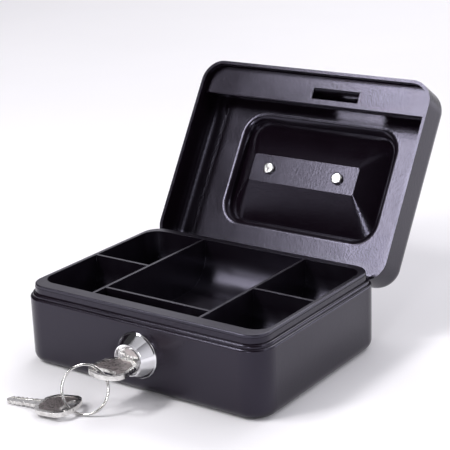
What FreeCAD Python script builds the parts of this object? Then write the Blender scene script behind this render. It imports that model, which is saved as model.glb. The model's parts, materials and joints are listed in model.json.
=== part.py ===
"""Small steel cash box, lid open, with lift-out coin tray, cam lock, two keys and a folding handle.

Millimetres. X to the right, Y to the back, Z up. The origin is the middle of the base's underside.
The lid group is drawn shut and then turned about the hinge axis to its open stop.
"""
import FreeCAD, Part
import math
import os

V = FreeCAD.Vector
X_AXIS = V(1, 0, 0)
Y_AXIS = V(0, 1, 0)
Z_AXIS = V(0, 0, 1)

# Box
WIDTH = 152.0
DEPTH = 115.0
SHEET = 0.9
CORNER_R = 13.0
BOTTOM_R = 5.5
SHOULDER_Z = 39.0
STEP_Z = 37.2
STEP_INSET = 1.3
SHOULDER_R = 1.2
NECK_INSET = 2.8
NECK_TOP = 42.0
OVERCUT = 1.0

# Lid, measured upwards from its lip when shut
LID_GAP = 0.3
LID_OPEN = 122.0
LID_TOP = 24.9
LID_TOP_R = 9.0
HEM_H = 3.5
HEM_T = 1.8
PAN_HALF = (52.0, 34.5)
PAN_RISE = 4.0
PAN_SLOPE = 3.0
PAN_R = 14.0
PLATEAU_HALF = (35.5, 8.3)
PLATEAU_H = 18.75
HOPPER_HALF = (48.6, 31.1)
HOPPER_R = (1.4, 10.5)
PAN_EDGE_R = 4.5
RIDGE_R = 0.15
WELL_EDGE_R = 0.8

# Strike plate inside the lid's front wall
STRIKE_H = 5.0
STRIKE_EDGE_Y = -38.2
STRIKE_FLANGE = 5.5
STRIKE_SLOT_X = (-0.4, 29.6)
STRIKE_SLOT_Y = (-48.4, -42.0)
STRIKE_SIDE_GAP = 0.15
STRIKE_BEND_R = 0.8
STRIKE_WELD_MARGIN = 2.0

# Hinges
HINGE_X = 40.0
HINGE_LEN = 24.0
HINGE_BACK = 1.45
HINGE_DROP = 2.4
KNUCKLE_R = 1.75
PIN_R = 0.95
PIN_FIT = 0.05
PIN_HEAD_R = 1.4
PIN_HEAD_T = 0.6
LEAF_T = 0.7
LEAF_LIFT = 0.3
KNUCKLE_GAP = 0.2
KNUCKLE_CLEAR = 0.35
NOTCH_MARGIN = 0.8
NOTCH_SKIN = 0.2
NOTCH_Z = 33.6
BASE_LEAF_Z = 20.0
LID_LEAF_H = 13.0

# Coin tray
TRAY_TOP = 43.6
TRAY_RIM = 0.2
TRAY_RIM_R = 0.7
TRAY_LAP = 0.1
TRAY_WALL = 1.5
TRAY_INNER_X = 70.5
TRAY_FRONT_Y = -47.2
TRAY_REAR_Y = 49.6
TRAY_DEPTH = 26.0
TRAY_CORNER_R = 9.0
DIVIDER_X = 33.7
DIVIDER_T = 1.6
CROSS_Y = -0.7
SLOT_WALL_Y = -37.7
SCOOP_R = 18.0
SCOOP_SHARE = 0.6
FRONT_FLOOR_R = 3.0

# Lock, its axis runs along Y
LOCK_X = 2.0
LOCK_Z = 20.5
CONE_BASE_R = 12.3
CONE_TIP_R = 8.6
CONE_LEN = 8.0
CONE_EDGE = 1.1
CONE_LIP = 0.5
CONE_ROLL = 0.4
CONE_SEAT = 1.0
BARREL_R = 7.9
BARREL_BORE_R = 5.75
BARREL_BACK_GAP = 0.8
PLUG_R = 5.7
PLUG_HEAD_R = 6.5
PLUG_HEAD_T = 1.2
PLUG_SUNK = 0.5
SLIP = 0.05
LOOSE = 0.1
STUD_HALF = 2.75
STUD_THREAD_R = 2.4
STUD_LEN = 3.6
NUT_FLATS = 20.0
NUT_T = 4.0
WASHER_T = 0.8
WASHER_RIM = 3.2
CAM_NUT_FLATS = 8.0
CAM_NUT_T = 2.6
CAM_WASHER_R = 4.6
CAM_WASHER_T = 0.6
KEYWAY_FIT = (0.2, 0.15)
KEYWAY_END = 0.3

# Hook on the plug, drawn upright as it stands when locked
CAM_Y = (-46.1, -44.1)
HOOK_REACH = 29.1
HOOK_ROOT_R = 6.5
HOOK_INNER = 0.9
HOOK_OUTER = 7.0
HOOK_BARB = 7.4
HOOK_BITE = 1.6
HOOK_CLEAR = 0.6
HOOK_WAIST = 1.0
HOOK_CROWN = (0.4, 1.2)

# Wafers and their springs
WAFERS = 5
WAFER_START = 4.0
WAFER_T = 0.8
WAFER_PITCH = 2.7
WAFER_HALF_Z = 2.5
SPRING_X = 3.5
SPRING_Z = 2.8
SPRING_R = 0.42
SPRING_WIRE_R = 0.13
SPRING_PITCH = 0.34
SPRING_LEN = 1.02
SPRING_POCKET_R = 0.75

# Keys and ring
BLADE_LEN = 19.5
BLADE_W = 6.2
BLADE_T = 1.8
BOW_W = 21.5
BOW_L = 21.5
BOW_T = 2.4
BOW_RIM = 1.7
BOW_RECESS = 0.35
BOW_NECK = 4.6
BOW_FLARE = 5.0
BOW_TAPER = 0.8
BOW_SIDE = 14.5
BOW_CORNER = 18.2
BOW_CROWN = 0.9
BOW_SLOT = (12.5, 5.2)
BOW_SLOT_END = 4.9
BLADE_TIP = 2.0
GROOVE_HALF = (0.6, 0.25)
GROOVE_SIDE = 1.1
BITTING = (0.5, 0.25)
BITTING_HALF = (0.4, 1.2)
KEY_SHOULDER_GAP = 1.2
RING_WIRE_R = 0.7
RING_TILT = 52.0
RING_SPREAD = 0.88
RING_SIDE = -2.0
RING_FLOOR = 0.1
SPARE_ARC = 42.0
SPARE_SWING = -10.0
SPARE_SLOT_SHIFT = -0.35

# Handle on the outside of the lid
SCREW_X = 23.1
SCREW_HEAD_R = 3.5
SCREW_HEAD_T = 2.3
SCREW_HEAD_EDGE = 1.2
SCREW_R = 1.95
SCREW_LEN = 5.8
SCREW_FIT = 0.15
SCREW_RECESS = (1.9, 0.45, 1.3)
SCREW_TURN = 20.0
BRACKET_X = (18.5, 29.6)
BRACKET_HALF_Y = 5.0
BRACKET_H = 8.0
BRACKET_CROWN = 3.5
BRACKET_HOLE = 6.0
PIVOT_H = 4.4
BAIL_R = 2.0
BAIL_FIT = 0.06
BAIL_ARM_X = 33.2
BAIL_REACH = 24.0
BAIL_BEND_R = 7.0
BAIL_PIN_IN = 25.8
BAIL_PIN_GAP = 0.3
BAIL_PIN_BEND = 3.2

# Worked out from the values above
HALF_X = WIDTH / 2
HALF_Y = DEPTH / 2
LIP_Z = SHOULDER_Z + LID_GAP
HINGE_Y = HALF_Y - HINGE_BACK
HINGE_Z = SHOULDER_Z - HINGE_DROP
FACE_Y = -HALF_Y - CONE_LEN
PLUG_FACE_Y = FACE_Y + PLUG_SUNK
SHOULDER_Y = PLUG_FACE_Y - KEY_SHOULDER_GAP
TRAY_FLOOR = TRAY_TOP - TRAY_DEPTH
PIVOT_Z = LIP_Z + PLATEAU_H + PIVOT_H
PLATEAU_Z = LIP_Z + PLATEAU_H
ARC_DIP = 1 - math.sqrt(0.5)


def rounded_rect(half, radius, z, centre=(0.0, 0.0)):
    """A closed wire in the plane at height z: four straight sides joined by quarter circles."""
    hx, hy = half
    cx, cy = centre
    bend = radius * ARC_DIP
    edges = []
    corners = [(1, -1), (1, 1), (-1, 1), (-1, -1)]
    ends = []
    for sx, sy in corners:
        along_x = V(cx + sx * (hx - radius), cy + sy * hy, z)
        along_y = V(cx + sx * hx, cy + sy * (hy - radius), z)
        middle = V(cx + sx * (hx - bend), cy + sy * (hy - bend), z)
        first, last = (along_x, along_y) if sx * sy < 0 else (along_y, along_x)
        edges.append(Part.Arc(first, middle, last).toShape())
        ends.append((first, last))
    for k in range(4):
        edges.append(Part.LineSegment(ends[k][1], ends[(k + 1) % 4][0]).toShape())
    return Part.Wire(Part.__sortEdges__(edges))


def prism(half, radius, z0, z1, centre=(0.0, 0.0)):
    """A rounded-rectangle column from z0 to z1."""
    return Part.Face(rounded_rect(half, radius, z0, centre)).extrude(V(0, 0, z1 - z0))


def frustum(half0, radius0, z0, half1, radius1, z1):
    """A rounded-rectangle column whose plan changes evenly from z0 to z1."""
    wires = [rounded_rect(half0, radius0, z0), rounded_rect(half1, radius1, z1)]
    return Part.makeLoft(wires, True, True)


def grown(half, amount):
    """Half sizes made larger by the same amount on every side."""
    return (half[0] + amount, half[1] + amount)


def block(x, y, z):
    """A box from three (low, high) pairs."""
    return Part.makeBox(x[1] - x[0], y[1] - y[0], z[1] - z[0], V(x[0], y[0], z[0]))


def rod(radius, start, axis, length):
    return Part.makeCylinder(radius, length, start, axis)


def level_edges(shape, z):
    """The edges that lie flat at height z."""
    flat = []
    for edge in shape.Edges:
        box = edge.BoundBox
        if abs(box.ZMin - z) < 1e-4 and abs(box.ZMax - z) < 1e-4:
            flat.append(edge)
    return flat


def polygon(points):
    """A face with straight sides through the points."""
    return Part.Face(Part.makePolygon(points + [points[0]]))


def about_lock(shape_points):
    """Turn a half profile of (radius, y) pairs into a round solid about the lock's axis."""
    points = [V(LOCK_X + r, y, LOCK_Z) for r, y in shape_points]
    return polygon(points).revolve(V(LOCK_X, 0, LOCK_Z), Y_AXIS, 360)


def lock_rod(radius, y0, y1):
    return rod(radius, V(LOCK_X, y0, LOCK_Z), Y_AXIS, y1 - y0)


def opened(shape):
    """Turn a shut lid piece about the hinge to the open stop."""
    shape.rotate(V(0, HINGE_Y, HINGE_Z), X_AXIS, -LID_OPEN)
    return shape


def hinge_rod(radius, x0, x1):
    return rod(radius, V(x0, HINGE_Y, HINGE_Z), X_AXIS, x1 - x0)


def base_shell():
    """Drawn steel base: rounded floor and walls, a shoulder in two rolled steps and an upright neck."""
    half = (HALF_X, HALF_Y)
    outer = prism(half, CORNER_R, 0, STEP_Z)
    outer = outer.makeFillet(BOTTOM_R, level_edges(outer, 0))
    outer = outer.makeFillet(SHOULDER_R, level_edges(outer, STEP_Z))
    step = prism(grown(half, -STEP_INSET), CORNER_R - STEP_INSET, BOTTOM_R, SHOULDER_Z)
    outer = outer.fuse(step.makeFillet(SHOULDER_R, level_edges(step, SHOULDER_Z)))
    outer = outer.fuse(prism(grown(half, -NECK_INSET), CORNER_R - NECK_INSET, BOTTOM_R, NECK_TOP))
    well = prism(grown(half, -SHEET), CORNER_R - SHEET, SHEET, STEP_Z - SHEET)
    well = well.makeFillet(BOTTOM_R - SHEET, level_edges(well, SHEET))
    for inset, top in ((STEP_INSET, SHOULDER_Z - SHEET), (NECK_INSET, NECK_TOP + OVERCUT)):
        wall = inset + SHEET
        well = well.fuse(prism(grown(half, -wall), CORNER_R - wall, BOTTOM_R, top))
    shell = outer.cut(well)
    notch_half = HINGE_LEN / 2 + NOTCH_MARGIN
    notch_y = (HALF_Y - NECK_INSET + NOTCH_SKIN, HALF_Y + OVERCUT)
    for x in (-HINGE_X, HINGE_X):
        shell = shell.cut(block((x - notch_half, x + notch_half), notch_y, (NOTCH_Z, SHOULDER_Z + OVERCUT)))
    lock_hole = lock_rod(BARREL_R + LOOSE, -HALF_Y - OVERCUT, -HALF_Y + SHEET + OVERCUT)
    return shell.cut(lock_hole).removeSplitter()


def knuckle_spans(x):
    """The x ranges of the three knuckles of a hinge centred at x."""
    third = HINGE_LEN / 3
    lows = [x - HINGE_LEN / 2 + k * third for k in range(3)]
    return [(low + KNUCKLE_GAP / 2, low + third - KNUCKLE_GAP / 2) for low in lows]


def leaf_y():
    """Both leaves lie against the inside of the rear walls."""
    return (HALF_Y - SHEET - LEAF_T, HALF_Y - SHEET)


def hinge_base_leaf(x):
    """Leaf on the inside of the base's rear wall, with the two outer knuckles."""
    outer_knuckles = knuckle_spans(x)[::2]
    clear_z = HINGE_Z - KNUCKLE_R - KNUCKLE_CLEAR
    leaf = block((x - HINGE_LEN / 2, x + HINGE_LEN / 2), leaf_y(), (BASE_LEAF_Z, clear_z))
    for span in outer_knuckles:
        leaf = leaf.fuse(block(span, leaf_y(), (clear_z, HINGE_Z - PIN_R - PIN_FIT)))
        leaf = leaf.fuse(hinge_rod(KNUCKLE_R, *span))
    bore = hinge_rod(PIN_R + PIN_FIT, x - HINGE_LEN, x + HINGE_LEN)
    return leaf.cut(bore).removeSplitter()


def hinge_lid_leaf(x):
    """Leaf on the inside of the lid's rear wall, with the middle knuckle."""
    span = knuckle_spans(x)[1]
    plate_z = (LIP_Z + LEAF_LIFT, LIP_Z + LID_LEAF_H)
    leaf = block((x - HINGE_LEN / 2, x + HINGE_LEN / 2), leaf_y(), plate_z)
    leaf = leaf.fuse(block(span, leaf_y(), (HINGE_Z + PIN_R + PIN_FIT, plate_z[0])))
    leaf = leaf.fuse(hinge_rod(KNUCKLE_R, *span))
    bore = hinge_rod(PIN_R + PIN_FIT, x - HINGE_LEN, x + HINGE_LEN)
    return opened(leaf.cut(bore).removeSplitter())


def hinge_pin(x):
    """Pin through the knuckles, peened at both ends."""
    end = HINGE_LEN / 2
    pin = hinge_rod(PIN_R, x - end, x + end)
    pin = pin.fuse(hinge_rod(PIN_HEAD_R, x - end - PIN_HEAD_T, x - end))
    return pin.fuse(hinge_rod(PIN_HEAD_R, x + end, x + end + PIN_HEAD_T)).removeSplitter()


def scoop_cutter(x, y):
    """One tray compartment: a curved scoop at the back, a small round at the front of the floor."""
    front, back = y
    floor, top = TRAY_FLOOR, TRAY_TOP + OVERCUT
    scoop = min(SCOOP_R, (back - front) * SCOOP_SHARE)
    start = V(x[0], front, top)
    front_up = V(x[0], front, floor + FRONT_FLOOR_R)
    front_mid = V(x[0], front + FRONT_FLOOR_R * ARC_DIP, floor + FRONT_FLOOR_R * ARC_DIP)
    front_in = V(x[0], front + FRONT_FLOOR_R, floor)
    back_in = V(x[0], back - scoop, floor)
    back_mid = V(x[0], back - scoop * ARC_DIP, floor + scoop * ARC_DIP)
    back_up = V(x[0], back, floor + scoop)
    end = V(x[0], back, top)
    outline = [
        Part.LineSegment(start, front_up).toShape(),
        Part.Arc(front_up, front_mid, front_in).toShape(),
        Part.LineSegment(front_in, back_in).toShape(),
        Part.Arc(back_in, back_mid, back_up).toShape(),
        Part.LineSegment(back_up, end).toShape(),
        Part.LineSegment(end, start).toShape(),
    ]
    return Part.Face(Part.Wire(outline)).extrude(V(x[1] - x[0], 0, 0))


def coin_tray():
    """Moulded lift-out tray: five scooped compartments, a rim that hangs on the neck, a bay for the lock."""
    middle_y = (TRAY_FRONT_Y + TRAY_REAR_Y) / 2
    inner_half = (TRAY_INNER_X, (TRAY_REAR_Y - TRAY_FRONT_Y) / 2)
    centre = (0.0, middle_y)
    rim_half = (HALF_X - NECK_INSET - TRAY_RIM, HALF_Y - NECK_INSET - TRAY_RIM)
    rim = prism(rim_half, CORNER_R - NECK_INSET - TRAY_RIM, NECK_TOP, TRAY_TOP)
    rim = rim.makeFillet(TRAY_RIM_R, level_edges(rim, TRAY_TOP))
    tub_half = grown(inner_half, TRAY_WALL)
    tub = prism(tub_half, TRAY_CORNER_R + TRAY_WALL, TRAY_FLOOR - TRAY_WALL, NECK_TOP + TRAY_LAP, centre)
    tub = tub.makeFillet(FRONT_FLOOR_R, level_edges(tub, TRAY_FLOOR - TRAY_WALL))
    tray = rim.fuse(tub)
    inside = prism(inner_half, TRAY_CORNER_R, TRAY_FLOOR - OVERCUT, TRAY_TOP + 2 * OVERCUT, centre)
    half_t = DIVIDER_T / 2
    columns = [(-TRAY_INNER_X, -DIVIDER_X - half_t), (DIVIDER_X + half_t, TRAY_INNER_X)]
    rows = [(TRAY_FRONT_Y, CROSS_Y - half_t), (CROSS_Y + half_t, TRAY_REAR_Y)]
    for x in columns:
        for y in rows:
            tray = tray.cut(scoop_cutter(x, y).common(inside))
    centre_x = (-DIVIDER_X + half_t, DIVIDER_X - half_t)
    tray = tray.cut(scoop_cutter(centre_x, (SLOT_WALL_Y + half_t, TRAY_REAR_Y)))
    bay_y = (-HALF_Y, SLOT_WALL_Y - half_t)
    tray = tray.cut(block(centre_x, bay_y, (0, NECK_TOP)))
    tray = tray.cut(block(centre_x, (TRAY_FRONT_Y, bay_y[1]), (0, TRAY_TOP + OVERCUT)))
    return tray.removeSplitter()


def lid_shell():
    """Drawn steel lid: hemmed lip, rolled top edge, raised pan and the sunk well for the handle."""
    half = (HALF_X, HALF_Y)
    top = LIP_Z + LID_TOP
    pan_top = top + PAN_RISE
    outer = prism(half, CORNER_R, LIP_Z, top)
    outer = outer.makeFillet(LID_TOP_R, level_edges(outer, top))
    inner = prism(grown(half, -SHEET), CORNER_R - SHEET, LIP_Z + HEM_H, top - SHEET)
    inner = inner.makeFillet(LID_TOP_R - SHEET, level_edges(inner, top - SHEET))
    inner = inner.fuse(prism(grown(half, -HEM_T), CORNER_R - HEM_T, LIP_Z - OVERCUT, LIP_Z + HEM_H))
    outer = outer.fuse(rounded_pan(0, top - SHEET)).cut(handle_well(PLATEAU_Z, pan_top))
    inner = inner.fuse(rounded_pan(-SHEET, top - 2 * SHEET))
    inner = inner.cut(handle_well(PLATEAU_Z - SHEET, pan_top - SHEET))
    outer = softened(softened(outer, top, PAN_EDGE_R), pan_top, RIDGE_R)
    inner = softened(inner, top - SHEET, PAN_EDGE_R)
    shell = outer.cut(inner)
    notch_half = HINGE_LEN / 2 + NOTCH_MARGIN
    hem_y = (HALF_Y - HEM_T - OVERCUT, HALF_Y - SHEET)
    hem_z = (LIP_Z - OVERCUT, LIP_Z + HEM_H + OVERCUT)
    for side in (-1, 1):
        x = side * HINGE_X
        shell = shell.cut(block((x - notch_half, x + notch_half), hem_y, hem_z))
        hole_at = V(side * SCREW_X, 0, PLATEAU_Z - SHEET - OVERCUT)
        shell = shell.cut(rod(SCREW_R + SCREW_FIT, hole_at, Z_AXIS, SHEET + 2 * OVERCUT))
    return opened(shell.removeSplitter())


def rounded_pan(offset, z0):
    """The raised middle of the lid, from below the flat panel to its own top."""
    low = grown(PAN_HALF, offset)
    high = grown(PAN_HALF, offset - PAN_SLOPE)
    z1 = LIP_Z + LID_TOP + PAN_RISE + offset
    return frustum(low, PAN_R + offset, z0, high, PAN_R + offset - PAN_SLOPE, z1)


def handle_well(z0, z1):
    """The hopper that the handle folds into, flat at the bottom and flared to the pan."""
    well = frustum(PLATEAU_HALF, HOPPER_R[0], z0, HOPPER_HALF, HOPPER_R[1], z1)
    return well.makeFillet(WELL_EDGE_R, level_edges(well, z0))


def softened(shape, z, radius):
    """Round the pressed edges of the pan and the well that lie at height z."""
    limit_x = PAN_HALF[0] + radius
    limit_y = PAN_HALF[1] + radius
    pressed = []
    for edge in level_edges(shape, z):
        box = edge.BoundBox
        inside_x = max(abs(box.XMin), abs(box.XMax)) < limit_x
        if inside_x and max(abs(box.YMin), abs(box.YMax)) < limit_y:
            pressed.append(edge)
    return shape.makeFillet(radius, pressed)


def strike_plate():
    """Plate across the lid's front wall, turned up at both long edges, slotted for the lock's hook."""
    z0 = LIP_Z + STRIKE_H
    front = -HALF_Y + SHEET
    half = (HALF_X - SHEET - STRIKE_SIDE_GAP, HALF_Y - SHEET)
    plan = prism(half, CORNER_R - SHEET, z0, z0 + SHEET)
    plate = plan.common(block((-HALF_X, HALF_X), (front, STRIKE_EDGE_Y), (z0, z0 + SHEET)))
    flange_x = (-half[0], half[0])
    flange = block(flange_x, (STRIKE_EDGE_Y - SHEET, STRIKE_EDGE_Y), (z0, z0 + STRIKE_FLANGE))
    plate = plate.fuse(flange).removeSplitter()
    bend = []
    for edge in plate.Edges:
        box = edge.BoundBox
        at_edge = abs(box.YMin - STRIKE_EDGE_Y) < 1e-4 and abs(box.ZMax - z0) < 1e-4
        if at_edge and box.XLength > WIDTH / 2:
            bend.append(edge)
    plate = plate.makeFillet(STRIKE_BEND_R, bend)
    weld_x = HALF_X - CORNER_R - STRIKE_WELD_MARGIN
    plate = plate.fuse(block((-weld_x, weld_x), (front, front + SHEET), (z0, z0 + STRIKE_FLANGE)))
    plate = plate.cut(block(STRIKE_SLOT_X, STRIKE_SLOT_Y, (z0 - OVERCUT, z0 + SHEET + OVERCUT)))
    return opened(plate.removeSplitter())


def lock_escutcheon():
    """Bright cone round the lock's face."""
    wall = -HALF_Y
    bore = BARREL_R + SLIP
    mouth = bore - CONE_LIP
    seat = FACE_Y + CONE_SEAT
    return about_lock([
        (bore, wall), (CONE_BASE_R, wall), (CONE_BASE_R, wall - CONE_EDGE), (CONE_TIP_R, FACE_Y + CONE_ROLL),
        (CONE_TIP_R - CONE_ROLL, FACE_Y), (mouth, FACE_Y + CONE_ROLL), (mouth, seat), (bore, seat)])


def lock_housing():
    """Barrel of the lock, through the wall, stepped for the plug's head."""
    front = FACE_Y + CONE_SEAT
    head_r = PLUG_HEAD_R + LOOSE
    seat = PLUG_FACE_Y + PLUG_HEAD_T + SLIP
    back = CAM_Y[0] - BARREL_BACK_GAP
    return about_lock([
        (head_r, front), (BARREL_R, front), (BARREL_R, back),
        (BARREL_BORE_R, back), (BARREL_BORE_R, seat), (head_r, seat)])


def hexagon(across_flats, y0, y1):
    """A hexagonal column about the lock's axis."""
    radius = across_flats / math.sqrt(3)
    points = []
    for k in range(6):
        turn = math.radians(60 * k + 30)
        points.append(V(LOCK_X + radius * math.cos(turn), y0, LOCK_Z + radius * math.sin(turn)))
    return polygon(points).extrude(V(0, y1 - y0, 0))


def lock_washer():
    y0 = -HALF_Y + SHEET
    y1 = y0 + WASHER_T
    return lock_rod(BARREL_R + WASHER_RIM, y0, y1).cut(lock_rod(BARREL_R + LOOSE, y0 - OVERCUT, y1 + OVERCUT))


def lock_nut():
    y0 = -HALF_Y + SHEET + WASHER_T
    y1 = y0 + NUT_T
    return hexagon(NUT_FLATS, y0, y1).cut(lock_rod(BARREL_R + SLIP, y0 - OVERCUT, y1 + OVERCUT))


def wafer_y(k):
    """Front face of wafer k."""
    return PLUG_FACE_Y + WAFER_START + k * WAFER_PITCH


def about(middle, half):
    """The (low, high) pair that reaches half to each side of the middle."""
    return (middle - half, middle + half)


def lock_plug():
    """Turning core: head, keyway, wafer slots, and a square stud with a round thread end for the hook."""
    back = CAM_Y[0] - SLIP
    plug = lock_rod(PLUG_HEAD_R, PLUG_FACE_Y, PLUG_FACE_Y + PLUG_HEAD_T)
    plug = plug.fuse(lock_rod(PLUG_R, PLUG_FACE_Y, back))
    plug = plug.fuse(block(about(LOCK_X, STUD_HALF), (back, CAM_Y[1] - LOOSE), about(LOCK_Z, STUD_HALF)))
    plug = plug.fuse(lock_rod(STUD_THREAD_R, back, CAM_Y[1] + STUD_LEN))
    way_x = about(LOCK_X, BLADE_W / 2 + KEYWAY_FIT[0])
    way_z = about(LOCK_Z, BLADE_T / 2 + KEYWAY_FIT[1])
    plug = plug.cut(block(way_x, (PLUG_FACE_Y - OVERCUT, SHOULDER_Y + BLADE_LEN + KEYWAY_END), way_z))
    slot_x = about(LOCK_X, PLUG_R + OVERCUT)
    slot_z = about(LOCK_Z, WAFER_HALF_Z + LOOSE)
    for k in range(WAFERS):
        y0 = wafer_y(k)
        plug = plug.cut(block(slot_x, (y0 - SLIP, y0 + WAFER_T + SLIP), slot_z))
        pocket = V(LOCK_X + SPRING_X, y0 + WAFER_T / 2, LOCK_Z + WAFER_HALF_Z)
        plug = plug.cut(rod(SPRING_POCKET_R, pocket, Z_AXIS, PLUG_R))
    return plug.removeSplitter()


def lock_wafers():
    """Five brass wafers, each with a window for the key's blade, drawn level with the plug."""
    window_x = about(LOCK_X, BLADE_W / 2 + LOOSE)
    window_z = about(LOCK_Z, BLADE_T / 2 + LOOSE)
    wafers = []
    for k in range(WAFERS):
        wafer_span = (wafer_y(k), wafer_y(k) + WAFER_T)
        plate = block(about(LOCK_X, PLUG_R), wafer_span, about(LOCK_Z, WAFER_HALF_Z))
        plate = plate.common(lock_rod(PLUG_R - LOOSE, *wafer_span))
        wafers.append(plate.cut(block(window_x, wafer_span, window_z)))
    return Part.makeCompound(wafers)


def wafer_springs():
    """A small coil spring beside each wafer."""
    springs = []
    for k in range(WAFERS):
        coil = Part.makeHelix(SPRING_PITCH, SPRING_LEN, SPRING_R)
        start = Part.Wire(Part.makeCircle(SPRING_WIRE_R, V(SPRING_R, 0, 0), Y_AXIS))
        spring = Part.Wire(coil.Edges).makePipeShell([start], True, True)
        spring.translate(V(LOCK_X + SPRING_X, wafer_y(k) + WAFER_T / 2, LOCK_Z + SPRING_Z))
        springs.append(spring)
    return Part.makeCompound(springs)


def lock_cam():
    """Hook: lies to the right when unlocked, and turns up through the strike plate to bite over its end."""
    throat = LIP_Z + STRIKE_H + SHEET + HOOK_CLEAR - LOCK_Z
    crown_left, crown_right = HOOK_CROWN
    outline = [
        (-HOOK_ROOT_R, 0), (-HOOK_INNER - HOOK_WAIST, throat * 0.45), (-HOOK_INNER, throat * 0.75),
        (-HOOK_INNER, throat), (-HOOK_BARB, throat), (-HOOK_BARB, throat + HOOK_BITE),
        (-HOOK_BARB * 0.55, HOOK_REACH - crown_left), (0, HOOK_REACH),
        (HOOK_OUTER * 0.6, HOOK_REACH - crown_right), (HOOK_OUTER, throat - HOOK_WAIST),
        (HOOK_OUTER, throat / 2), (HOOK_ROOT_R, 0)]
    front, back = CAM_Y
    hook = polygon([V(x, front, z) for x, z in outline]).extrude(V(0, back - front, 0))
    hook = hook.fuse(rod(HOOK_ROOT_R, V(0, front, 0), Y_AXIS, back - front))
    eye = about(0, STUD_HALF + SLIP)
    hook = hook.cut(block(eye, (front - OVERCUT, back + OVERCUT), eye)).removeSplitter()
    hook.rotate(V(0, 0, 0), Y_AXIS, 90)
    hook.translate(V(LOCK_X, 0, LOCK_Z))
    return hook


def cam_washer():
    y0, y1 = CAM_Y[1], CAM_Y[1] + CAM_WASHER_T
    return lock_rod(CAM_WASHER_R, y0, y1).cut(lock_rod(STUD_THREAD_R + LOOSE, y0 - OVERCUT, y1 + OVERCUT))


def cam_nut():
    """Nut that holds the hook on the plug's stud."""
    y0 = CAM_Y[1] + CAM_WASHER_T
    y1 = y0 + CAM_NUT_T
    return hexagon(CAM_NUT_FLATS, y0, y1).cut(lock_rod(STUD_THREAD_R + SLIP, y0 - OVERCUT, y1 + OVERCUT))


def bow_outline(margin, z):
    """The bow's outline, pulled in by margin: narrow shoulder, wide flat sides and a crowned end."""
    half = BOW_W / 2 - margin
    crown = BOW_L - margin
    shoulder = V(-BOW_NECK + margin * 0.4, -margin, z)
    flare = V(-half * 0.72, -BOW_FLARE * 0.42 - margin, z)
    side_top = V(-half + BOW_TAPER, -BOW_FLARE, z)
    side_low = V(-half, -BOW_SIDE, z)
    corner = V(-half * 0.86, -BOW_CORNER + margin, z)
    crown_end = V(-half / 2, -crown + BOW_CROWN, z)
    left = [
        Part.Arc(shoulder, flare, side_top).toShape(),
        Part.LineSegment(side_top, side_low).toShape(),
        Part.Arc(side_low, corner, crown_end).toShape(),
    ]
    right = [edge.mirror(V(0, 0, 0), X_AXIS) for edge in left]
    across = V(2 * shoulder.x, 0, 0)
    top = Part.LineSegment(shoulder - across, shoulder).toShape()
    bottom = Part.Arc(crown_end, V(0, -crown, z), V(-crown_end.x, crown_end.y, z)).toShape()
    return Part.Face(Part.Wire(Part.__sortEdges__(left + right + [top, bottom])))


def bitting_cut(side, y, depth):
    """One V-shaped cut in the edge of the blade."""
    deep, wide = BITTING_HALF
    inner = side * (BLADE_W / 2 - depth)
    outer = side * (BLADE_W / 2 + LOOSE)
    corners = [(inner, y - deep), (inner, y + deep), (outer, y + wide), (outer, y - wide)]
    return polygon([V(cx, cy, -BLADE_T) for cx, cy in corners]).extrude(V(0, 0, 2 * BLADE_T))


def key_blade():
    """The blade along +Y: pointed tip, a groove on each face, and the same cuts on both edges."""
    half = BLADE_W / 2
    blade = block((-half, half), (-OVERCUT, BLADE_LEN), about(0, BLADE_T / 2))
    tip = [(half, BLADE_LEN - BLADE_TIP), (half + OVERCUT, BLADE_LEN), (half - BLADE_TIP, BLADE_LEN)]
    tip_cut = polygon([V(x, y, -BLADE_T) for x, y in tip]).extrude(V(0, 0, 2 * BLADE_T))
    blade = blade.cut(tip_cut).cut(tip_cut.mirror(V(0, 0, 0), X_AXIS))
    groove_half, groove_deep = GROOVE_HALF
    for face in (-1, 1):
        groove_x = about(face * GROOVE_SIDE, groove_half)
        groove_z = about(face * BLADE_T / 2, groove_deep)
        blade = blade.cut(block(groove_x, (PLUG_SUNK, BLADE_LEN + OVERCUT), groove_z))
    shallow, step = BITTING
    for k in range(WAFERS):
        depth = shallow + step * ((k * 2) % 3)
        y = wafer_y(k) - SHOULDER_Y + WAFER_T / 2
        for side in (-1, 1):
            blade = blade.cut(bitting_cut(side, y, depth))
    return blade


def plain_key():
    """A flat steel key in its own frame: shoulder at the origin, blade along +Y, bow along -Y."""
    bow = bow_outline(0, -BOW_T / 2).extrude(V(0, 0, BOW_T))
    field_deep = V(0, 0, OVERCUT + BOW_RECESS)
    field_low = bow_outline(BOW_RIM, -BOW_T / 2 - OVERCUT).extrude(field_deep)
    field_high = bow_outline(BOW_RIM, BOW_T / 2 - BOW_RECESS).extrude(field_deep)
    bow = bow.cut(field_low).cut(field_high)
    slot_half = (BOW_SLOT[0] / 2, BOW_SLOT[1] / 2)
    slot_at = (0.0, -BOW_L + BOW_SLOT_END)
    bow = bow.cut(prism(slot_half, slot_half[1] - SLIP, -BOW_T, BOW_T, slot_at))
    return bow.fuse(key_blade()).removeSplitter()


def key_in_lock():
    key = plain_key()
    key.translate(V(LOCK_X, SHOULDER_Y, LOCK_Z))
    return key


def ring_frame():
    """Where the ring passes the key's slot, the wire's direction there, and the way to its centre."""
    through = V(LOCK_X + RING_SIDE, SHOULDER_Y - BOW_L + BOW_SLOT_END, LOCK_Z)
    tilt = math.radians(RING_TILT)
    wire = V(-math.sin(tilt), 0, math.cos(tilt))
    out = math.sqrt(1 - RING_SPREAD ** 2)
    inward = V(-RING_SPREAD * math.cos(tilt), -out, -RING_SPREAD * math.sin(tilt))
    drop = -inward.z + math.hypot(inward.z, wire.z)
    radius = (LOCK_Z - RING_FLOOR - RING_WIRE_R) / drop
    return through, wire, inward, radius


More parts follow.
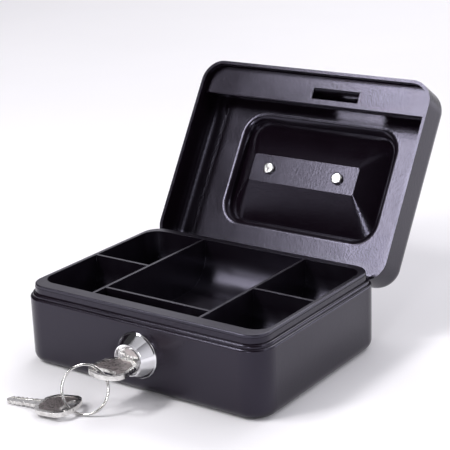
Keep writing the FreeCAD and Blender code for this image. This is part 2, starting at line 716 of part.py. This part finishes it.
def key_ring():
    """Ring of wire that hangs from the key in the lock and touches the ground."""
    through, wire, inward, radius = ring_frame()
    return Part.makeTorus(radius, RING_WIRE_R, through + inward * radius, wire.cross(inward))


def spare_key():
    """Second key: its tip lies on the ground and its bow hangs on the rising side of the ring."""
    through, wire, inward, radius = ring_frame()
    centre = through + inward * radius
    normal = wire.cross(inward)
    level = normal.cross(Z_AXIS)
    level.normalize()
    if level.x < 0:
        level = level * -1
    up = Z_AXIS - normal * normal.z
    up.normalize()
    turn = math.radians(SPARE_ARC)
    crossing = centre - up * (radius * math.cos(turn)) - level * (radius * math.sin(turn))
    slot_to_tip = BLADE_LEN + BOW_L - BOW_SLOT_END
    rise = crossing.z - RING_FLOOR - BLADE_T / 2
    pitch = math.asin(rise / slot_to_tip)
    heading = math.atan2(level.y, level.x)
    key = plain_key()
    key.translate(V(0, BOW_L - BOW_SLOT_END + SPARE_SLOT_SHIFT, 0))
    key.rotate(V(0, 0, 0), X_AXIS, -math.degrees(pitch))
    key.rotate(V(0, 0, 0), Z_AXIS, 90 + math.degrees(heading) + SPARE_SWING)
    key.translate(crossing)
    return key


def handle_bracket(side):
    """Cast block on the lid's plateau that carries one end of the handle."""
    x0, x1 = sorted((side * BRACKET_X[0], side * BRACKET_X[1]))
    bracket = block((x0, x1), (-BRACKET_HALF_Y, BRACKET_HALF_Y), (PLATEAU_Z, PLATEAU_Z + BRACKET_H))
    ridges = []
    for edge in level_edges(bracket, PLATEAU_Z + BRACKET_H):
        if edge.BoundBox.XLength > 1:
            ridges.append(edge)
    bracket = bracket.makeFillet(BRACKET_CROWN, ridges)
    hole_x = sorted((side * (BAIL_PIN_IN - BAIL_PIN_GAP), side * (BRACKET_X[1] + OVERCUT)))
    bracket = bracket.cut(rod(BAIL_R + BAIL_FIT, V(hole_x[0], 0, PIVOT_Z), X_AXIS, hole_x[1] - hole_x[0]))
    hole_at = V(side * SCREW_X, 0, PLATEAU_Z - OVERCUT)
    screw_hole = rod(SCREW_R + SLIP, hole_at, Z_AXIS, OVERCUT + BRACKET_HOLE)
    return opened(bracket.cut(screw_hole).removeSplitter())


def handle_screws():
    """Two pan-head screws, put in from inside the lid."""
    recess_x, recess_y, recess_deep = SCREW_RECESS
    under = PLATEAU_Z - SHEET
    screws = []
    for side in (-1, 1):
        at = V(side * SCREW_X, 0, under - SCREW_HEAD_T)
        head = rod(SCREW_HEAD_R, at, Z_AXIS, SCREW_HEAD_T)
        head = head.makeFillet(SCREW_HEAD_EDGE, level_edges(head, at.z))
        shank = rod(SCREW_R, V(at.x, 0, under - LOOSE), Z_AXIS, SHEET + SCREW_LEN)
        for turn in (SCREW_TURN, SCREW_TURN + 90):
            recess = block(about(0, recess_x), about(0, recess_y), (-OVERCUT, recess_deep))
            recess.rotate(V(0, 0, 0), Z_AXIS, turn)
            recess.translate(at)
            head = head.cut(recess)
        screws.append(opened(head.fuse(shank).removeSplitter()))
    return Part.makeCompound(screws)


def quarter_bend(corner, back, ahead, radius):
    """A quarter circle that rounds a corner; back and ahead are unit vectors out of it."""
    dip = radius * ARC_DIP
    middle = corner + back * dip + ahead * dip
    return Part.Arc(corner + back * radius, middle, corner + ahead * radius).toShape()


def carry_handle():
    """Bent steel rod; drawn hanging straight down from its pivots, as it does with the lid open."""
    down = Z_AXIS * -1
    end = V(-BAIL_PIN_IN, 0, 0)
    shoulder = V(-BAIL_ARM_X, 0, 0)
    corner = V(-BAIL_ARM_X, 0, -BAIL_REACH)
    left = [
        Part.LineSegment(end, shoulder + X_AXIS * BAIL_PIN_BEND).toShape(),
        quarter_bend(shoulder, X_AXIS, down, BAIL_PIN_BEND),
        Part.LineSegment(shoulder + down * BAIL_PIN_BEND, corner - down * BAIL_BEND_R).toShape(),
        quarter_bend(corner, Z_AXIS, X_AXIS, BAIL_BEND_R),
    ]
    right = [edge.mirror(V(0, 0, 0), X_AXIS) for edge in left]
    grip_end = corner + X_AXIS * BAIL_BEND_R
    grip = Part.LineSegment(grip_end, V(-grip_end.x, 0, grip_end.z)).toShape()
    path = Part.Wire(Part.__sortEdges__(left + [grip] + right))
    section = Part.Wire(Part.makeCircle(BAIL_R, end, X_AXIS))
    bail = path.makePipeShell([section], True, False)
    hinge = V(0, HINGE_Y, HINGE_Z)
    pivot = FreeCAD.Rotation(X_AXIS, -LID_OPEN).multVec(V(0, 0, PIVOT_Z) - hinge)
    bail.translate(hinge + pivot)
    return bail


def build():
    """Every piece of the cash box by its node name."""
    pieces = {
        "base_shell": base_shell(),
        "coin_tray": coin_tray(),
        "lock_escutcheon": lock_escutcheon(),
        "lock_housing": lock_housing(),
        "lock_washer": lock_washer(),
        "lock_nut": lock_nut(),
        "lock_plug": lock_plug(),
        "lock_wafers": lock_wafers(),
        "wafer_springs": wafer_springs(),
        "lock_cam": lock_cam(),
        "cam_washer": cam_washer(),
        "cam_nut": cam_nut(),
        "key": key_in_lock(),
        "key_ring": key_ring(),
        "spare_key": spare_key(),
        "lid_shell": lid_shell(),
        "strike_plate": strike_plate(),
        "handle_screws": handle_screws(),
        "carry_handle": carry_handle(),
    }
    for name, side in (("left", -1), ("right", 1)):
        pieces["hinge_base_leaf_" + name] = hinge_base_leaf(side * HINGE_X)
        pieces["hinge_lid_leaf_" + name] = hinge_lid_leaf(side * HINGE_X)
        pieces["hinge_pin_" + name] = hinge_pin(side * HINGE_X)
        pieces["handle_bracket_" + name] = handle_bracket(side)
    return pieces


os.makedirs("parts", exist_ok=True)
for node, shape in build().items():
    shape.exportStep("parts/" + node + ".step")
    print(node, "valid", shape.isValid(), "solids", len(shape.Solids), "volume", round(shape.Volume, 1))
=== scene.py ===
# %% [markdown]
# # A small steel cash box
# The box stands open: a drawn steel base and lid in satin black, a moulded coin tray, a chrome lock with
# a key in it, and a second key on the ring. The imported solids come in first, as a frame that never
# moves. Everything after that is finish: cameras, light, materials, rounded edges, and the pieces that
# need a finer shape.

import json
import math

import bmesh
import bpy
from mathutils import Matrix, Vector


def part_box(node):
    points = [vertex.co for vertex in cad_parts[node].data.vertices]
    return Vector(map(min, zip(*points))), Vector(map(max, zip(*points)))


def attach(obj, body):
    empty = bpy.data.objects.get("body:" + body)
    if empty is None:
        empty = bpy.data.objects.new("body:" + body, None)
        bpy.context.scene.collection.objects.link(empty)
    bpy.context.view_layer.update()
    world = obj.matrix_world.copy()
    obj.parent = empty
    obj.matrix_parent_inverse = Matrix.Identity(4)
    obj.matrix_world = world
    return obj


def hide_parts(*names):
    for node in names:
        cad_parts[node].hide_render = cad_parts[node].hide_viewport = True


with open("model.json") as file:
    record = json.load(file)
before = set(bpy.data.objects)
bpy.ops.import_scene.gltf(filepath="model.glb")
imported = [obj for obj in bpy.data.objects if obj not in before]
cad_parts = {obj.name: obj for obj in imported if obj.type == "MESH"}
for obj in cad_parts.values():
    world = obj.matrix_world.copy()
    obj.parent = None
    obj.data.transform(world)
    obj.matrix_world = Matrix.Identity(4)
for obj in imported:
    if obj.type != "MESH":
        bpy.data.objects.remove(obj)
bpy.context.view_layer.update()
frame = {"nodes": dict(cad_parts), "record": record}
nodes = frame["nodes"]
slot_of_node = {row["node"]: row["material_slot"] for row in frame["record"]["subparts"]}
MM = 0.001

# %% [markdown]
# ## Camera
# The photograph was taken from the right of the lock, a little above the rim, with a long lens. A camera
# is placed by its three own axes: right, up and back. They become the columns of its matrix, so no
# tracking constraint is needed, and the small lean of the horizon is one more turn about the back axis.

# %% Camera
AZIMUTH = math.radians(35.67)
ELEVATION = math.radians(18.15)
ROLL = math.radians(-2.11)
CAMERA_AT = Vector((398.75, -531.56, 289.08)) * MM
LENS = 107.44
SENSOR = 36.0
NEAREST = 0.01

outward = math.cos(ELEVATION)
back = Vector((math.sin(AZIMUTH) * outward, -math.cos(AZIMUTH) * outward, math.sin(ELEVATION)))
level = (-back).cross(Vector((0, 0, 1))).normalized()
upright = level.cross(-back)
right = level * math.cos(ROLL) + upright * math.sin(ROLL)
up = upright * math.cos(ROLL) - level * math.sin(ROLL)

lens = bpy.data.cameras.new("camera")
lens.lens = LENS
lens.sensor_width = SENSOR
lens.clip_start = NEAREST
camera = bpy.data.objects.new("camera", lens)
camera.matrix_world = Matrix.Translation(CAMERA_AT) @ Matrix((right, up, back)).transposed().to_4x4()
bpy.context.scene.collection.objects.link(camera)
bpy.context.scene.camera = camera
bpy.context.scene.view_settings.view_transform = "Standard"
print("camera", tuple(round(c, 3) for c in CAMERA_AT), "lens", LENS)

# %% [markdown]
# ## Light and floor
# Black things are lit by what they reflect. The room is bright behind the box and on its right, which
# gives the walls and the lid's side their soft grey. In front it is dark, and that keeps the tray and
# the well in the lid deep black. Nine soft lights do the rest. The pair on the left, in front and high,
# draws the bright panel inside the lid and the scoops of the tray. The weaker ones fill the chrome, the
# right-hand walls and the floor, and the last whitens what lies behind. The floor is plain and pale.

# %% Room
ROOM_FRONT = 0.05
ROOM_BACK = 0.9
BRIGHT_SIDE = (0.5, 1.0, 0.0)
FADE = (-0.05, 0.5)
ROOM_TINT = (0.955, 0.94, 1.0, 1)

world = bpy.data.worlds.new("room")
world.use_nodes = True
room = world.node_tree
background = room.nodes["Background"]
direction = room.nodes.new("ShaderNodeTexCoord")
towards = room.nodes.new("ShaderNodeVectorMath")
towards.operation = "DOT_PRODUCT"
towards.inputs[1].default_value = BRIGHT_SIDE
fade = room.nodes.new("ShaderNodeMapRange")
fade.interpolation_type = "SMOOTHSTEP"
for socket, value in zip(("From Min", "From Max", "To Min", "To Max"), (*FADE, ROOM_FRONT, ROOM_BACK)):
    fade.inputs[socket].default_value = value
room.links.new(direction.outputs["Generated"], towards.inputs[0])
room.links.new(towards.outputs["Value"], fade.inputs["Value"])
room.links.new(fade.outputs["Result"], background.inputs["Strength"])
background.inputs["Color"].default_value = ROOM_TINT
bpy.context.scene.world = world

# %% Lights and floor


def soft_light(name, place, target, size, watts, tint):
    """A rectangular light that faces a point."""
    lamp = bpy.data.lights.new(name, "AREA")
    lamp.shape = "RECTANGLE"
    lamp.size, lamp.size_y = size
    lamp.energy = watts
    lamp.color = tint
    item = bpy.data.objects.new(name, lamp)
    item.location = place
    item.rotation_euler = (Vector(target) - Vector(place)).to_track_quat("-Z", "Y").to_euler()
    bpy.context.scene.collection.objects.link(item)
    return item


MAIN_TINT = (1.0, 0.985, 1.0)
WHITE_TINT = (1.0, 0.99, 1.0)
COOL_TINT = (0.97, 0.97, 1.0)
TOP_TINT = (0.97, 0.96, 1.0)
BLUE_TINT = (0.88, 0.87, 1.0)
BOX_MIDDLE = (0.02, 0, 0.05)

# Each row is a name, a place, the point it faces, a size, the watts and a tint.
LIGHTS = (
    ("front left light", (-0.48, -0.79, 0.90), BOX_MIDDLE, (0.24, 0.34), 6.0, MAIN_TINT),
    ("high left light", (-0.50, -0.46, 1.04), BOX_MIDDLE, (0.2, 0.26), 4.5, MAIN_TINT),
    ("overhead front light", (-0.14, -0.62, 1.03), (0.03, -0.05, 0.04), (0.4, 0.16), 0.4, WHITE_TINT),
    ("right light", (1.0, 0.0, 0.65), (0.02, -0.03, 0.03), (0.2, 0.5), 1.5, COOL_TINT),
    ("low front light", (0.28, -1.05, 0.30), (0, 0, 0.07), (0.12, 0.2), 2.5, COOL_TINT),
    ("low left light", (-0.55, -0.94, 0.45), (0.05, 0, 0.03), (0.16, 0.12), 1.0, WHITE_TINT),
    ("top light", (0.1, 0.4, 1.5), (0, 0.1, 0), (1.6, 1.2), 2.8, TOP_TINT),
    ("low right light", (0.72, 0.98, 0.13), (0.06, 0.03, 0.05), (0.5, 0.2), 1.8, BLUE_TINT),
    ("background light", (-0.3, 1.6, 1.6), (-0.3, 1.0, 0), (1.6, 0.8), 19.0, WHITE_TINT),
)
FLOOR_HALF = 6.0
for row in LIGHTS:
    soft_light(*row)


def pale_floor():
    """One large flat sheet under the box."""
    mesh = bpy.data.meshes.new("floor")
    bm = bmesh.new()
    bmesh.ops.create_grid(bm, x_segments=1, y_segments=1, size=FLOOR_HALF)
    bm.to_mesh(mesh)
    bm.free()
    sheet = bpy.data.objects.new("floor", mesh)
    bpy.context.scene.collection.objects.link(sheet)
    return sheet


floor = pale_floor()

# %% [markdown]
# ## Materials
# Every finish reads Object coordinates. All pieces keep their origin at the middle of the base, so these
# are real metres: a noise scale of 1000 has features of about a millimetre. The helpers add a node, wire
# it, and turn a grey pattern into bump or into a range of roughness.

# %% Material helpers


class Finish:
    """A Principled material that patterns can be wired into."""

    def __init__(self, name, colour, metallic, roughness):
        self.material = bpy.data.materials.new(name)
        self.material.use_nodes = True
        self.tree = self.material.node_tree
        self.shader = self.tree.nodes["Principled BSDF"]
        self.shader.inputs["Base Color"].default_value = (*colour, 1)
        self.shader.inputs["Metallic"].default_value = metallic
        self.shader.inputs["Roughness"].default_value = roughness
        self.place = self.tree.nodes.new("ShaderNodeTexCoord").outputs["Object"]

    def add(self, kind, **values):
        node = self.tree.nodes.new(kind)
        for key, value in values.items():
            node.inputs[key.replace("_", " ")].default_value = value
        return node

    def stretched(self, scale, turn=(0, 0, 0)):
        """Object coordinates, turned and squeezed so that a pattern runs one way."""
        mapping = self.add("ShaderNodeMapping", Scale=scale, Rotation=turn)
        self.tree.links.new(self.place, mapping.inputs["Vector"])
        return mapping.outputs["Vector"]

    def noise(self, scale, detail=3.0, place=None):
        node = self.add("ShaderNodeTexNoise", Scale=scale, Detail=detail)
        self.tree.links.new(place or self.place, node.inputs["Vector"])
        return node.outputs["Fac"]

    def cells(self, scale, place=None):
        node = self.add("ShaderNodeTexVoronoi", Scale=scale)
        node.feature = "SMOOTH_F1"
        self.tree.links.new(place or self.place, node.inputs["Vector"])
        return node.outputs["Distance"]

    def ramp(self, pattern, low, high, start=0.35, end=0.65):
        """Map a pattern to colours between low and high."""
        node = self.tree.nodes.new("ShaderNodeValToRGB")
        node.color_ramp.elements[0].position = start
        node.color_ramp.elements[0].color = (*low, 1)
        node.color_ramp.elements[1].position = end
        node.color_ramp.elements[1].color = (*high, 1)
        self.tree.links.new(pattern, node.inputs["Fac"])
        return node.outputs["Color"]

    def colour_from(self, pattern, low, high):
        self.tree.links.new(self.ramp(pattern, low, high), self.shader.inputs["Base Color"])

    def roughness_from(self, pattern, low, high):
        node = self.add("ShaderNodeMapRange", From_Min=0.3, From_Max=0.7, To_Min=low, To_Max=high)
        self.tree.links.new(pattern, node.inputs["Value"])
        self.tree.links.new(node.outputs["Result"], self.shader.inputs["Roughness"])

    def bump_from(self, *layers):
        """Stack bumps: each layer is a pattern, a height in metres and a strength."""
        normal = None
        for pattern, height, strength in layers:
            node = self.add("ShaderNodeBump", Distance=height, Strength=strength)
            self.tree.links.new(pattern, node.inputs["Height"])
            if normal:
                self.tree.links.new(normal, node.inputs["Normal"])
            normal = node.outputs["Normal"]
        self.tree.links.new(normal, self.shader.inputs["Normal"])


# %% [markdown]
# ### Powder coat
# The steel is coated in satin black powder. It melts into low, close bumps like leather, about a
# millimetre apart, which break up every highlight. One fine noise makes that bump, and slower ones vary
# the colour and the gloss. The tray's plastic has a lower grain, and its highlights are stronger but
# softer.

# %% Powder coat and tray plastic
GLOSS_TINT = (0.79, 0.765, 1.0, 1)

black_coat = Finish("satin black powder coat", (0.004, 0.002, 0.0042), 0.0, 0.3)
black_coat.shader.inputs["Specular Tint"].default_value = GLOSS_TINT
black_coat.colour_from(black_coat.noise(22, 3.0), (0.0036, 0.0016, 0.0036), (0.0056, 0.0028, 0.0056))
black_coat.roughness_from(black_coat.noise(60, 4.0), 0.2, 0.26)
black_coat.bump_from((black_coat.noise(850, 1.0), 0.00006, 1.0))

tray_plastic = Finish("satin black moulding", (0.003, 0.0014, 0.0032), 0.0, 0.34)
tray_plastic.shader.inputs["Specular Tint"].default_value = GLOSS_TINT
tray_plastic.colour_from(tray_plastic.noise(30, 2.0), (0.0022, 0.001, 0.0025), (0.0034, 0.0018, 0.0038))
tray_plastic.shader.inputs["Specular IOR Level"].default_value = 0.75
tray_plastic.roughness_from(tray_plastic.noise(90, 3.0), 0.3, 0.38)
tray_plastic.bump_from((tray_plastic.noise(700, 1.0), 0.00002, 1.0))

bracket_plastic = Finish("black bracket moulding", (0.012, 0.012, 0.013), 0.0, 0.45)
bracket_plastic.roughness_from(bracket_plastic.noise(150, 3.0), 0.4, 0.52)
bracket_plastic.bump_from((bracket_plastic.noise(2200, 2.0), 0.00005, 0.25))
print("coats", black_coat.material.name, tray_plastic.material.name)

# %% [markdown]
# ### Plated metals
# Chrome is nearly a mirror, with a faint haze. Nickel on the keys and the plug is softer, and fine
# scratches from the ring and the pocket run along it. Zinc plate inside the lock is duller and slightly
# cloudy, and the wafers are plain brass.

# %% Plated metals
chrome = Finish("polished chrome", (0.83, 0.83, 0.85), 1.0, 0.08)
chrome.roughness_from(chrome.noise(240, 3.0), 0.05, 0.11)

nickel = Finish("worn nickel", (0.66, 0.65, 0.63), 1.0, 0.28)
scratch = nickel.noise(700, 5.0, nickel.stretched((0.12, 1.0, 1.0), (0, 0, math.radians(17))))
nickel.colour_from(nickel.noise(420, 4.0), (0.56, 0.55, 0.53), (0.74, 0.73, 0.71))
nickel.roughness_from(scratch, 0.17, 0.34)
nickel.bump_from((scratch, 0.00004, 0.12))

ring_wire = Finish("bright spring wire", (0.62, 0.61, 0.6), 1.0, 0.18)
ring_wire.roughness_from(ring_wire.noise(160, 2.0), 0.14, 0.22)

bow_field = Finish("stippled bow field", (0.22, 0.215, 0.21), 1.0, 0.45)
stipple = bow_field.cells(1500)
bow_field.colour_from(stipple, (0.34, 0.305, 0.3), (0.06, 0.048, 0.05))
bow_field.bump_from((stipple, 0.00025, 0.7))

plug_metal = Finish("bright nickel casting", (0.76, 0.76, 0.77), 1.0, 0.2)
plug_metal.roughness_from(plug_metal.noise(500, 4.0), 0.14, 0.27)
plug_metal.bump_from((plug_metal.noise(1500, 3.0), 0.00003, 0.12))

screw_nickel = Finish("bright screw", (0.86, 0.86, 0.85), 1.0, 0.16)
screw_nickel.roughness_from(screw_nickel.noise(700, 3.0), 0.1, 0.22)

zinc = Finish("zinc plate", (0.55, 0.56, 0.58), 1.0, 0.36)
zinc.colour_from(zinc.noise(160, 4.0), (0.46, 0.47, 0.49), (0.62, 0.63, 0.64))
zinc.roughness_from(zinc.noise(420, 4.0), 0.28, 0.46)

brass = Finish("plain brass", (0.72, 0.53, 0.22), 1.0, 0.3)
brass.colour_from(brass.noise(300, 3.0), (0.64, 0.46, 0.18), (0.78, 0.6, 0.28))
brass.roughness_from(brass.noise(900, 3.0), 0.22, 0.36)

floor_paper = Finish("pale floor", (0.88, 0.872, 0.892), 0.0, 0.7)
floor_paper.colour_from(floor_paper.noise(3, 3.0), (0.87, 0.862, 0.882), (0.89, 0.882, 0.902))
floor.data.materials.append(floor_paper.material)

finish_of_slot = {
    "black_coat": black_coat,
    "tray_plastic": tray_plastic,
    "chrome_trim": chrome,
    "lock_metal": plug_metal,
    "wafer_brass": brass,
    "zinc_steel": zinc,
    "key_nickel": nickel,
    "bracket_plastic": bracket_plastic,
    "screw_nickel": screw_nickel,
}
print("finishes", sorted(finish_of_slot))

# %% [markdown]
# ## Dressing the solids
# A solid from the frame arrives as loose triangles with hard edges. Real mouldings and stampings have
# small radii that catch the light. Four modifiers do that and leave the solid's own points alone: Weld
# joins the triangles, Decimate melts flat ones together, Bevel rounds each edge, and Weighted Normal
# keeps the flats flat. The drawn shells of the base and the lid already have their rounds, so they only
# take their finish and keep the solid's own normals.

# %% Round the edges of a solid
WELD_GAP = 2e-6
FLAT_ANGLE = math.radians(0.05)
CORNER_ANGLE = math.radians(35)
BEVEL_STEPS = 3
FACE_WEIGHT = 50


def coated(node):
    """Give a solid its finish."""
    item = nodes[node]
    item.data.materials.clear()
    item.data.materials.append(finish_of_slot[slot_of_node[node]].material)
    return item


def rounded(item, radius):
    """Round the hard edges of a solid."""
    if "custom_normal" in item.data.attributes:
        item.data.attributes.remove(item.data.attributes["custom_normal"])
    for face in item.data.polygons:
        face.use_smooth = True
    weld = item.modifiers.new("join", "WELD")
    weld.merge_threshold = WELD_GAP
    flat = item.modifiers.new("melt flats", "DECIMATE")
    flat.decimate_type = "DISSOLVE"
    flat.angle_limit = FLAT_ANGLE
    edge = item.modifiers.new("round edges", "BEVEL")
    edge.width = radius
    edge.segments = BEVEL_STEPS
    edge.limit_method = "ANGLE"
    edge.angle_limit = CORNER_ANGLE
    edge.use_clamp_overlap = True
    edge.harden_normals = False
    shade = item.modifiers.new("shade", "WEIGHTED_NORMAL")
    shade.keep_sharp = True
    shade.weight = FACE_WEIGHT


# These are the widest roundings, in millimetres. Clamp narrows all edges of a piece to what its finest edge
# allows: to about 0.1 on the tray, and to about 0.01 on the key in the lock and on the plug.
EDGE_RADIUS = {
    "strike_plate": 0.25,
    "coin_tray": 0.8,
    "lock_housing": 0.15,
    "lock_plug": 0.12,
    "lock_nut": 0.3,
    "lock_washer": 0.15,
    "lock_cam": 0.25,
    "cam_nut": 0.2,
    "cam_washer": 0.1,
    "key": 0.22,
    "spare_key": 0.22,
    "handle_screws": 0.12,
    "handle_bracket_left": 0.5,
    "handle_bracket_right": 0.5,
    "hinge_base_leaf_left": 0.12,
    "hinge_base_leaf_right": 0.12,
    "hinge_lid_leaf_left": 0.12,
    "hinge_lid_leaf_right": 0.12,
    "hinge_pin_left": 0.15,
    "hinge_pin_right": 0.15,
    "lock_wafers": 0.06,
}
for node in nodes:
    solid = coated(node)
    if node in EDGE_RADIUS:
        rounded(solid, EDGE_RADIUS[node] * MM)
print("dressed", len(nodes), "nodes,", len(EDGE_RADIUS), "with rounded edges")

# %% [markdown]
# ## Chrome cone round the lock
# The cone is turned on a lathe and plated, so its reflections run in clean bands. Spin makes it: half a
# section is drawn as a few points and turned about the lock's axis. One extra point close to each end of
# the slope keeps it straight in between. The places come from the solid's own box, so the cone sits
# exactly where the solid does.

# %% Chrome cone


def new_piece(name, bm, finish, slot, body, *stands_for):
    """Turn a bmesh into a piece that rides on a body and stands for CAD nodes."""
    mesh = bpy.data.meshes.new(name)
    bm.to_mesh(mesh)
    bm.free()
    mesh.materials.append(finish.material)
    for face in mesh.polygons:
        face.use_smooth = True
    item = bpy.data.objects.new(name, mesh)
    bpy.context.scene.collection.objects.link(item)
    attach(item, body)
    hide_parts(*stands_for)
    return item


def keep_edges(item, angle):
    """Shade round stretches smooth and keep real edges crisp."""
    item.data.set_sharp_from_angle(angle=math.radians(angle))
    return item


cone_low, cone_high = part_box("lock_escutcheon")
axis = Vector(((cone_low.x + cone_high.x) / 2, 0, (cone_low.z + cone_high.z) / 2))
wall_y, tip_y = cone_high.y, cone_low.y
cone_r = (cone_high.x - cone_low.x) / 2
LATHE_STEPS = 128
LATHE_MERGE = 1e-7
CONE_CREASE = 40
TIP_SHARE = 0.7
BORE_R = 7.95 * MM
SUPPORT_SHARES = (0.0, 0.03, 0.97, 1.0)


def turned(section):
    """Spin a half section of (radius, y) points about the lock's axis."""
    bm = bmesh.new()
    points = [bm.verts.new((axis.x + r, y, axis.z)) for r, y in section]
    edges = [bm.edges.new(pair) for pair in zip(points, points[1:] + points[:1])]
    bmesh.ops.spin(bm, geom=points + edges, cent=axis, axis=(0, 1, 0), dvec=(0, 0, 0), angle=math.tau,
                   steps=LATHE_STEPS, use_merge=True, use_duplicate=False)
    bmesh.ops.remove_doubles(bm, verts=bm.verts, dist=LATHE_MERGE)
    bmesh.ops.recalc_face_normals(bm, faces=bm.faces)
    return bm


tip_r = TIP_SHARE * cone_r
slope_foot = Vector((cone_r - 0.6 * MM, wall_y - 1.2 * MM))
slope_tip = Vector((tip_r + 0.12 * MM, tip_y + 0.75 * MM))
cone_section = [
    (BORE_R, wall_y),
    (cone_r, wall_y),
    (cone_r, wall_y - 0.7 * MM),
    (cone_r - 0.25 * MM, wall_y - 1.0 * MM),
    *(slope_foot.lerp(slope_tip, share) for share in SUPPORT_SHARES),
    (tip_r, tip_y + 0.42 * MM),
    (tip_r - 0.15 * MM, tip_y + 0.14 * MM),
    (tip_r - 0.5 * MM, tip_y),
    (BORE_R - 0.1 * MM, tip_y + 0.05 * MM),
    (BORE_R - 0.42 * MM, tip_y + 0.3 * MM),
    (BORE_R - 0.5 * MM, tip_y + 1.0 * MM),
    (BORE_R, tip_y + 1.0 * MM),
]
cone = new_piece("lock_cone", turned(cone_section), chrome, "chrome_trim", "base", "lock_escutcheon")
keep_edges(cone, CONE_CREASE)
print("cone", len(cone.data.polygons), "faces")

# %% [markdown]
# ## Split ring
# A split ring is a flat coil of spring wire: one turn, a short step sideways, and a second turn on top
# of it. Spin also makes a coil, because it can move a little sideways at each step. The centre, the size
# and the plane of the ring are measured from the plain ring in the frame.

# %% Split ring
ring_points = [v.co for v in nodes["key_ring"].data.vertices]
ring_low, ring_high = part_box("key_ring")
ring_centre = (ring_low + ring_high) / 2
first_arm = max((p - ring_centre for p in ring_points), key=lambda arm: arm.length)
second_arm = max((p - ring_centre for p in ring_points), key=lambda arm: arm.cross(first_arm).length)
ring_normal = second_arm.cross(first_arm).normalized()
WIRE_R = 0.7 * MM
ring_r = first_arm.length - WIRE_R
TURN_GAP = 0.34 * MM
FLAT_TURN = math.radians(318)
STEP_TURN = math.radians(42)
WIRE_SIDES = 14
WIRE_HALF = (0.62 * MM, 0.33 * MM)
TURN_STEPS = 80
STEP_STEPS = 14
RING_MERGE = 1e-8
RING_CREASE = 50


def split_ring():
    """Two turns of flattened wire side by side, joined by a step."""
    bm = bmesh.new()
    out = first_arm.normalized()
    made = bmesh.ops.create_circle(bm, cap_ends=True, segments=WIRE_SIDES, radius=1.0)
    side = out.cross(ring_normal)
    shape = Matrix((out * WIRE_HALF[0], ring_normal * WIRE_HALF[1], side * MM)).transposed().to_4x4()
    bmesh.ops.transform(bm, matrix=shape, verts=made["verts"])
    bmesh.ops.translate(bm, verts=made["verts"], vec=ring_centre + out * ring_r - ring_normal * TURN_GAP)
    cap = bm.faces[:]
    turn = (FLAT_TURN, 0, TURN_STEPS)
    for angle, sideways, steps in (turn, (STEP_TURN, 2 * TURN_GAP, STEP_STEPS), turn):
        geometry = cap + list({e for f in cap for e in f.edges}) + list({v for f in cap for v in f.verts})
        grown = bmesh.ops.spin(bm, geom=geometry, cent=ring_centre, axis=ring_normal,
                               dvec=ring_normal * (sideways / steps), angle=angle, steps=steps,
                               use_merge=False, use_duplicate=False)
        cap = [g for g in grown["geom_last"] if isinstance(g, bmesh.types.BMFace)]
    bmesh.ops.remove_doubles(bm, verts=bm.verts, dist=RING_MERGE)
    bmesh.ops.recalc_face_normals(bm, faces=bm.faces)
    return bm


ring = new_piece("split_ring", split_ring(), ring_wire, "key_nickel", "ring", "key_ring")
keep_edges(ring, RING_CREASE)
print("ring radius", round(ring_r / MM, 2), "mm,", len(ring.data.polygons), "faces")

# %% [markdown]
# ## Bows of the keys
# A stamped bow has a smooth raised rim round a sunk, stippled field. The field's faces lie a third of a
# millimetre below the rim, so they are found by their depth, and only they take the darker stippled
# finish.

# %% Bows
BOW_FIELD_DEPTH = 0.85 * MM
DEPTH_SLACK = 0.02 * MM
FACING = 0.99


def stipple_bow(node):
    """Give the sunk field on both sides of a key's bow its own finish."""
    mesh = nodes[node].data
    mesh.materials.append(bow_field.material)
    plate = max(mesh.polygons, key=lambda face: face.area).normal.copy()
    heights = [v.co.dot(plate) for v in mesh.vertices]
    middle = (min(heights) + max(heights)) / 2
    count = 0
    for face in mesh.polygons:
        depth = abs(face.center.dot(plate) - middle)
        if abs(face.normal.dot(plate)) > FACING and abs(depth - BOW_FIELD_DEPTH) < DEPTH_SLACK:
            face.material_index = 1
            count += 1
    return count


print("field faces", [stipple_bow(node) for node in ("key", "spare_key")])
